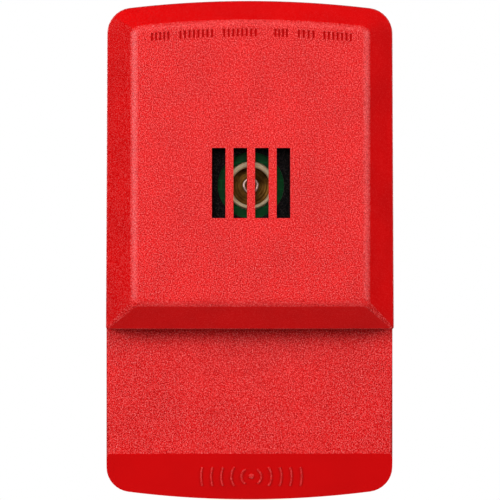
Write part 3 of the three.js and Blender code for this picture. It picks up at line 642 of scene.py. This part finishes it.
# The sound slots and the tick marks along the top of the face.
SLOTS = 4
SLOT_LOW = 13.1 * MM
SLOT_HIGH = 40.4 * MM
TICK_DEPTH = 0.4 * MM
TICK_HALF_WIDTH = 0.42 * MM
TICK_STEP = 1.7 * MM
TICK_CENTRE = 85.3 * MM
TICK_GROUPS = [
    (start * MM, end * MM)
    for start, end in ((-39, -31), (-28, -14), (-11, 3), (9, 15), (18, 25.5), (28, 40))
]
ROW_END = TICK_GROUPS[-1][1] + 0.5 * MM

# The screw bosses inside and the lock screw's block.
BOSS_RADIUS = 3.4 * MM
BOSS_END = -15.3 * MM
BOSS_ROOT = 0.5 * MM
PILOT_RADIUS = 1.5 * MM
PILOT_DEPTH = 8.7 * MM
LOCK_SEAT = -95.4 * MM
LOCK_BOSS_TOP = -92 * MM
LOCK_BOSS_HALF = (6 * MM, 5 * MM)
LOCK_HOLE_RADIUS = 1.8 * MM
LOCK_RECESS_RADIUS = 3.6 * MM

# The sign on the bevel: half widths and half heights, measured along the bevel.
MARK_HEIGHT = 0.6 * MM
MARK_DEPTH = 0.2 * MM
MARK_DOT = 1.1 * MM
MARK_ARCS = [radius * MM for radius in (4, 8, 12, 16, 20)]
MARK_ARC_HALF = 4.2 * MM
MARK_STROKE = 0.35 * MM
MARK_EDGE = 0.08 * MM
MARK_FRAME = (24.2 * MM, 8.6 * MM)
MARK_FRAME_LINE = 0.22 * MM
MARK_FRAME_HEIGHT = 0.16 * MM
MARK_SHIFT = (0.7 * MM, 0.4 * MM)


def side_at(depth, inset=0.0):
    """Half width of the drafted side at a depth."""
    return HALF_WIDTH - inset - (REAR - depth) * DRAFT


def crest_at(depth, inset=0.0):
    """Height of the drafted crest at a depth."""
    return CREST - inset - (REAR - depth) * DRAFT


def raised_block(name, inset, rear, edge, front):
    """The upper body: drafted sides up to the slope's edge, then slopes up to the flat face."""
    slant = inset * math.tan(math.radians(22.5))
    sides = [
        {
            "depth": depth, "halves": (side_at(depth, inset) - TAPER, side_at(depth, inset)),
            "top": crest_at(depth, inset), "bottom": RAISED_FOOT + inset,
            "radii": (TOP_RADIUS, None), "corners": (CORNER - inset, 1 * MM),
        }
        for depth in (rear, edge)
    ]
    face = {
        "depth": front, "halves": (FACE_HALF - slant,) * 2, "top": FACE_CREST - slant,
        "bottom": FACE_FOOT + slant, "radii": (TOP_RADIUS, None), "corners": (2.8 * MM, 2.5 * MM),
    }
    return loft(name, [*sides, face])


def lower_block(name, inset, rear, front, edge_radius):
    """The lower body, with a rounded front edge and the flat bevel along its bottom."""
    outlines = [
        {
            "depth": depth, "halves": (side_at(depth, inset),) * 2, "top": PANEL_HEAD,
            "bottom": -crest_at(depth, inset), "radii": (None, BOTTOM_RADIUS),
            "corners": (0.5 * MM, CORNER - inset),
        }
        for depth in (rear, front)
    ]
    piece = loft(name, outlines)
    select_where(piece, "edges", lambda a, b: (
        all(abs(p.y - front) < 0.01 * MM for p in (a, b)) and min(a.z, b.z) < PANEL_HEAD - MM))
    bpy.ops.mesh.bevel(offset=edge_radius, segments=6, affect="EDGES")
    run = BEVEL_LINE + CREST
    rise = BEVEL_FOOT - PANEL
    outward = Vector((0, -run, -rise)).normalized()
    bpy.ops.mesh.select_all(action="SELECT")
    bpy.ops.mesh.bisect(
        plane_co=Vector((0, PANEL, BEVEL_LINE)) - outward * inset, plane_no=outward,
        use_fill=True, clear_outer=True,
    )
    bpy.ops.object.mode_set(mode="OBJECT")
    return piece


def round_ridges(piece, width):
    """Rounds the ridges between the face and its slopes, and the slopes' outer edges."""
    select_where(piece, "edges", lambda a, b: all(abs(p.y - FACE) < 0.01 * MM for p in (a, b)))
    bpy.ops.mesh.bevel(offset=width, segments=6, affect="EDGES")
    select_where(piece, "edges", lambda a, b: all(abs(p.y - SLOPE_EDGE) < 0.01 * MM for p in (a, b)))
    bpy.ops.mesh.bevel(offset=SLOPE_EDGE_ROUND, segments=4, affect="EDGES")
    bpy.ops.object.mode_set(mode="OBJECT")


def slot_cutters():
    """Four upright blocks, one for each sound slot."""
    half = sizes().slot_width / 2
    cutters = []
    for index in range(SLOTS):
        x = SOUND.x + (index - (SLOTS - 1) / 2) * sizes().slot_pitch
        cutters.append(box(f"slot_{index}", (x - half, FACE - MM, SLOT_LOW),
                           (x + half, FACE + sizes().wall + MM, SLOT_HIGH)))
    return join(cutters, "slot_cutters")


def tick_centre(x):
    """Height of the middle of the tick marks, on an arc that follows the crest."""
    return TICK_CENTRE - TOP_RADIUS + math.sqrt(TOP_RADIUS ** 2 - x ** 2)


def tick_cutters():
    """Small upright strokes in groups, sunk along the arc at the top of the face."""
    half = sizes().tick_height / 2
    first = box("tick", (-TICK_HALF_WIDTH, FACE - MM, -half),
                (TICK_HALF_WIDTH, FACE + TICK_DEPTH, half))
    ticks = []
    for start, end in TICK_GROUPS:
        count = max(1, round((end - start) / TICK_STEP))
        for index in range(count):
            place = start + (index + 0.5) * (end - start) / count
            ticks.append(copy_to(first, "tick", (place, 0, tick_centre(place))))
    bpy.data.objects.remove(first)
    return join(ticks, "tick_cutters")


def mark_stroke(radius, side):
    """One arc of the bevel mark, spun both ways from a thin block."""
    reach = side * math.asin(min(0.8, MARK_ARC_HALF / radius))
    thin = 0.02 * MM
    stroke = box("stroke", (side * radius - MARK_STROKE, -MARK_HEIGHT, -thin),
                 (side * radius + MARK_STROKE, MARK_DEPTH, thin))
    for end in (1, -1):
        select_where(stroke, "faces", lambda centre, normal: normal.z * end > 0.9)
        bpy.ops.mesh.spin(steps=14, angle=end * reach, center=(0, 0, 0), axis=(0, 1, 0))
    bpy.ops.mesh.select_all(action="SELECT")
    bpy.ops.mesh.remove_doubles(threshold=0.001 * MM)
    bpy.ops.mesh.normals_make_consistent(inside=False)
    bpy.ops.object.mode_set(mode="OBJECT")
    return stroke


def bevel_mark():
    """A raised sound-wave sign for the bevel: a dot with arcs to both sides, in a hairline frame."""
    pinhole = 0.05 * MM
    parts = [spun("dot", [
        (pinhole, MARK_DEPTH), (MARK_DOT, MARK_DEPTH), (MARK_DOT, -0.6 * MARK_HEIGHT),
        (0.73 * MARK_DOT, -MARK_HEIGHT), (pinhole, -MARK_HEIGHT),
    ], (0, 0, 0), 32)]
    parts += [mark_stroke(radius, side) for radius in MARK_ARCS for side in (1, -1)]
    wide, tall = MARK_FRAME
    line = MARK_FRAME_LINE
    outer = box("frame", (-wide, -MARK_FRAME_HEIGHT, -tall), (wide, MARK_DEPTH, tall))
    inner = box("frame_inside", (line - wide, -MM, line - tall), (wide - line, MM, tall - line))
    combine(outer, inner, "DIFFERENCE")
    parts.append(outer)
    mark = join(parts, "bevel_mark")
    soften(mark, MARK_EDGE, 40, 2)
    right, up = MARK_SHIFT
    lean = math.atan2(BEVEL_FOOT - PANEL, BEVEL_LINE + CREST)
    middle = Vector((right, (PANEL + BEVEL_FOOT) / 2, (BEVEL_LINE - CREST) / 2 + up))
    mark.matrix_world = Matrix.Translation(middle) @ Matrix.Rotation(lean, 4, "X")
    activate(mark)
    bpy.ops.object.transform_apply(location=True, rotation=True, scale=True)
    return mark


def add_bosses(cover):
    """The four screw bosses inside, and the block at the foot that the lock screw passes."""
    half_width, half_depth = LOCK_BOSS_HALF
    for x, z in BOSS_PLACES:
        skin = (FACE if z > RAISED_FOOT else PANEL) + sizes().wall - BOSS_ROOT
        combine(cover, pin("boss", BOSS_RADIUS, (x, skin, z), (x, BOSS_END, z)), "UNION")
    combine(cover, box("lock_boss", (-half_width, LOCK_Y - half_depth, MM - CREST),
                       (half_width, LOCK_Y + half_depth, LOCK_BOSS_TOP)), "UNION")
    for x, z in BOSS_PLACES:
        combine(cover, pin("pilot", PILOT_RADIUS, (x, BOSS_END - PILOT_DEPTH, z),
                           (x, BOSS_END + MM, z)), "DIFFERENCE")
    below = (0, LOCK_Y, -CREST - MM)
    combine(cover, pin("lock_hole", LOCK_HOLE_RADIUS, below, (0, LOCK_Y, LOCK_BOSS_TOP + MM)),
            "DIFFERENCE")
    combine(cover, pin("lock_recess", LOCK_RECESS_RADIUS, below, (0, LOCK_Y, LOCK_SEAT), 48),
            "DIFFERENCE")


def cover_zone(centre, normal):
    """Number of the cover's finish at a face: the order is that of the names given to paint."""
    # The bevel gets the polished copy, darkened as painted shade because it faces down.
    bevel = Vector((0, -(BEVEL_LINE + CREST), -(BEVEL_FOOT - PANEL))).normalized()
    if normal.dot(bevel) > 0.995 and centre.z < BEVEL_LINE + MM:
        return 1
    # The floors of the tick marks get a darker polished copy: painted shade in the recesses.
    in_row = abs(centre.x) < ROW_END and (
        abs(centre.z - tick_centre(centre.x)) < sizes().tick_height / 2 + 0.05 * MM)
    if in_row and 0.02 * MM < centre.y - FACE < TICK_DEPTH + 0.1 * MM:
        return 2
    # The slopes get shaded copies of the body material, matched to how the light falls on them: the left
    # slope is darker with a few painted glints; the other three are a little darker, with faint painted
    # glints and a shallower grain.
    if centre.y < SLOPE_EDGE - MM and 0.2 < -normal.y < 0.75:
        return 3 if normal.x > -0.5 else 5
    # The ridges and the slots' edges get a glossier copy of the body material, to strengthen the highlight
    # along them; its glints are painted like the body's.
    if centre.y < FACE + 2 * MM and 0.2 < -normal.y < 0.995:
        return 4
    return 0


class HORN_OT_front_cover(bpy.types.Operator):
    """Model the moulded red cover, with its ridges, slots, tick marks and bevel"""

    bl_idname = "horn.front_cover"
    bl_label = "Front cover"

    def execute(self, context):
        wall = sizes().wall
        cover = raised_block("cover", 0, REAR, SLOPE_EDGE, FACE)
        round_ridges(cover, sizes().ridge)
        combine(cover, lower_block("lower", 0, REAR, PANEL, sizes().panel_edge), "UNION")
        combine(cover, raised_block("inside", wall, REAR + MM, SLOPE_EDGE + wall / 2, FACE + wall),
                "DIFFERENCE")
        combine(cover, lower_block("inside", wall, REAR + MM, PANEL + wall, INNER_EDGE_ROUND), "DIFFERENCE")
        add_bosses(cover)
        combine(cover, slot_cutters(), "DIFFERENCE")
        soften(cover, EDGE_SOFTNESS, 50, 2)
        combine(cover, tick_cutters(), "DIFFERENCE")
        paint(cover, "red grain", "red polish", "red recess", "red slope", "red ridge",
              "red side")
        for face in cover.data.polygons:
            face.material_index = cover_zone(face.center, face.normal)
        smooth(cover, 32)
        mark = bevel_mark()
        # The mark gets the ridges' glossier copy, which brightens the highlight on its edges.
        paint(mark, "red ridge")
        smooth(mark, 40)
        cover.name = "moulded_cover"
        mark.name = "cover_mark"
        install(cover, "head", "red_abs", "front_cover")
        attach(mark, "head")
        return {"FINISHED"}


# ---------------------------------------------------------------- sounder


COLLAR_INNER = 7.5 * MM
COLLAR_OUTER = 9.3 * MM
COLLAR_FRONT_ROUND = 0.5 * MM
COLLAR_EDGE = 0.12 * MM
BORE_DROP = 0.35 * MM
DISC_RIM = 0.25 * MM
DISC_HUB = (1.6 * MM, 2 * MM)
RING_START = 3.4 * MM
RING_STEP = 1.15 * MM
RING_WIDTH = 0.7 * MM
RING_HEIGHT = 0.16 * MM
EYELET_INNER = 2.1 * MM
EYELET_OUTER = 3.2 * MM


def collar():
    """The nylon collar in the board's hole, with its foot flange behind the board."""
    flange = (RING_HIGH.x - RING_LOW.x) / 2
    seat = BOARD_REAR + GAP
    front = RING_LOW.y
    piece = spun("port_collar", [
        (COLLAR_INNER, RING_HIGH.y), (COLLAR_INNER, front + COLLAR_FRONT_ROUND),
        (COLLAR_INNER + COLLAR_FRONT_ROUND, front), (COLLAR_OUTER - 0.4 * MM, front),
        (COLLAR_OUTER, front + 0.4 * MM), (COLLAR_OUTER, seat), (flange, seat),
        (flange, RING_HIGH.y),
    ], SOUND)
    # The bore is a little low in the collar, so the collar is thicker above than below.
    select_where(piece, "verts", lambda point: math.hypot(
        point.x - SOUND.x, point.z - SOUND.z) < COLLAR_INNER + 1.2 * COLLAR_FRONT_ROUND)
    bpy.ops.transform.translate(value=(0, 0, -BORE_DROP))
    bpy.ops.object.mode_set(mode="OBJECT")
    soften(piece, COLLAR_EDGE, 40, 2)
    return piece


def diaphragm():
    """The thin brass disc, pressed into fine rings round its hub."""
    radius = (DISC_HIGH.x - DISC_LOW.x) / 2
    base = DISC_LOW.y + DISC_RIM
    hub, hub_edge = DISC_HUB
    profile = [(0, DISC_HIGH.y), (0, base), (hub, base), (hub_edge, base - 0.12 * MM)]
    place = RING_START
    while place < radius - 1.6 * MM:
        profile += [(place, base), (place + RING_WIDTH / 2, base - RING_HEIGHT),
                    (place + RING_WIDTH, base)]
        place += RING_STEP
    profile += [(radius, base), (radius, DISC_HIGH.y)]
    return spun("ringed_diaphragm", profile, SOUND)


def eyelet():
    """The bright eyelet, with its front edge rolled over."""
    front = EYELET_LOW.y
    roll = 0.35 * MM
    lip = 0.08 * MM
    return spun("rolled_eyelet", [
        (EYELET_INNER, EYELET_HIGH.y), (EYELET_INNER, front + roll),
        (EYELET_INNER + 0.25 * MM, front + lip), ((EYELET_INNER + EYELET_OUTER) / 2, front),
        (EYELET_OUTER - 0.25 * MM, front + lip), (EYELET_OUTER, front + roll),
        (EYELET_OUTER, EYELET_HIGH.y),
    ], SOUND)


class HORN_OT_sounder(bpy.types.Operator):
    """Model the collar, the ringed diaphragm and the eyelet that show through the slots"""

    bl_idname = "horn.sounder"
    bl_label = "Sounder"

    def execute(self, context):
        for make, colour, angle, slot, node in (
            (collar, "nylon", 30, "tan_nylon", "port_ring"),
            (diaphragm, "brass disc", 50, "brass", "sounder_diaphragm"),
            (eyelet, "nickel", 60, "bright_metal", "centre_eyelet"),
        ):
            piece = make()
            paint(piece, colour)
            smooth(piece, angle)
            install(piece, "head", slot, node)
        return {"FINISHED"}


# ---------------------------------------------------------------- finishes of the carried-over nodes


CARRIED = {
    "chamber grain": ["sound_baffle"],
    "black grain": ["rear_chassis", "sounder_cup", "terminal_block"],
    "black epoxy": ["driver_chip", "transistor"],
    "foam": ["baffle_gasket"],
    "solder mask": ["circuit_board"],
    "ceramic": ["piezo_ceramic"],
    "red wire": ["sounder_lead_red"],
    "black wire": ["sounder_lead_black"],
    "ferrite": ["coil_core"],
    "copper": ["coil_winding"],
    "sleeve": ["capacitor_large", "capacitor_small"],
    "grey moulding": ["tone_switch_body", "volume_switch_body"],
    "white moulding": ["tone_knob", "volume_knob"],
    "red satin": ["mounting_plate"],
    "brass": [f"{kind}_{index}" for kind in ("contact_pin", "terminal_strip") for index in range(1, 5)],
    "zinc": ["lock_nut", "lock_screw"] + [
        f"{kind}_{index}" for kind in ("chassis_screw", "board_screw", "terminal_screw", "clamp_plate")
        for index in range(1, 5)
    ],
}


class HORN_OT_carried_finishes(bpy.types.Operator):
    """Give every piece that keeps its CAD shape its finish"""

    bl_idname = "horn.carried_finishes"
    bl_label = "Other finishes"

    def execute(self, context):
        for name, nodes in CARRIED.items():
            for node in nodes:
                paint(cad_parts[node], name)
        return {"FINISHED"}


# ---------------------------------------------------------------- stage


class HORN_OT_stage(bpy.types.Operator):
    """Set the pale floor, the soft lights, the surroundings and the camera"""

    bl_idname = "horn.stage"
    bl_label = "Stage"

    def execute(self, context):
        deselect()
        bpy.ops.mesh.primitive_circle_add(vertices=96, radius=0.5, fill_type="NGON",
                                          location=(0, 0.1, -0.8))
        floor = context.object
        floor.name = "floor"
        bpy.ops.object.mode_set(mode="EDIT")
        bpy.ops.mesh.select_all(action="SELECT")
        bpy.ops.mesh.inset(thickness=0.02, depth=0)
        bpy.ops.object.mode_set(mode="OBJECT")
        floor.data.materials.append(polished_abs("floor_matt_paint", "D6D6D3", 0.8))
        self.light("left_softbox", -46, 12, 1.1, 52)
        self.light("right_softbox", 48, 14, 1.3, 38)
        self.light("top_softbox", 0, 50, 1.3, 17)
        self.light("low_softbox", 0, -42, 1.3, 7)
        self.light("rear_left_softbox", -150, 15, 1.3, 22)
        self.light("rear_right_softbox", 150, 15, 1.3, 22)
        self.light("front_softbox", -8, 16, 0.8, 13)
        self.surroundings(context.scene)
        self.camera(context.scene)
        context.scene.view_settings.view_transform = "Standard"
        return {"FINISHED"}

    def light(self, name, azimuth, elevation, size, power):
        """A square softbox 2.5 m from the horn, turned to face it."""
        turn, rise = math.radians(azimuth), math.radians(elevation)
        place = 2.5 * Vector((
            math.sin(turn) * math.cos(rise), -math.cos(turn) * math.cos(rise), math.sin(rise)))
        data = bpy.data.lights.new(name, "AREA")
        data.shape = "SQUARE"
        data.size = size
        data.energy = power
        lamp = bpy.data.objects.new(name, data)
        lamp.location = place
        lamp.rotation_euler = (-place).to_track_quat("-Z", "Y").to_euler()
        bpy.context.scene.collection.objects.link(lamp)

    def surroundings(self, scene):
        """White to the eye, but dimmer as a light, so that the shapes keep their shading."""
        world = bpy.data.worlds.new("white_room")
        world.use_nodes = True
        scene.world = world
        tree = world.node_tree
        background = tree.nodes["Background"]
        background.inputs["Color"].default_value = (1, 1, 1, 1)
        seen = add_node(tree, "ShaderNodeLightPath").outputs["Is Camera Ray"]
        strength = add_node(tree, "ShaderNodeMapRange", {"Value": seen, "To Min": 0.05, "To Max": 1.0})
        tree.links.new(strength.outputs["Result"], background.inputs["Strength"])

    def camera(self, scene):
        data = bpy.data.cameras.new("camera")
        data.sensor_width = 36
        place = Vector((-15, -1300, 0.7)) * MM
        target = Vector((0.2, -25, 0.7)) * MM
        data.lens = 36 * (target - place).length / (198.6 * MM)
        camera = bpy.data.objects.new("camera", data)
        camera.location = place
        camera.rotation_euler = (target - place).to_track_quat("-Z", "Y").to_euler()
        scene.collection.objects.link(camera)
        scene.camera = camera


# ---------------------------------------------------------------- panel and registration


STEPS = (HORN_OT_front_cover, HORN_OT_sounder, HORN_OT_carried_finishes, HORN_OT_stage)


class HORN_PT_panel(bpy.types.Panel):
    """Lists the horn's settings and its building steps"""

    bl_label = "Alarm Horn"
    bl_idname = "HORN_PT_panel"
    bl_space_type = "VIEW_3D"
    bl_region_type = "UI"
    bl_category = "Alarm Horn"

    def draw(self, context):
        for group in (context.scene.horn_sizes, context.scene.horn_colours):
            for name in group.__annotations__:
                self.layout.prop(group, name)
        for step in STEPS:
            self.layout.operator(step.bl_idname)


CLASSES = (HornSizes, HornColours, *STEPS, HORN_PT_panel)


def register():
    for item in CLASSES:
        bpy.utils.register_class(item)
    bpy.types.Scene.horn_sizes = bpy.props.PointerProperty(type=HornSizes)
    bpy.types.Scene.horn_colours = bpy.props.PointerProperty(type=HornColours)


def unregister():
    del bpy.types.Scene.horn_sizes
    del bpy.types.Scene.horn_colours
    for item in reversed(CLASSES):
        bpy.utils.unregister_class(item)


def main():
    register()
    for step in STEPS:
        group, name = step.bl_idname.split(".")
        getattr(getattr(bpy.ops, group), name)()


if __name__ == "__main__":
    main()
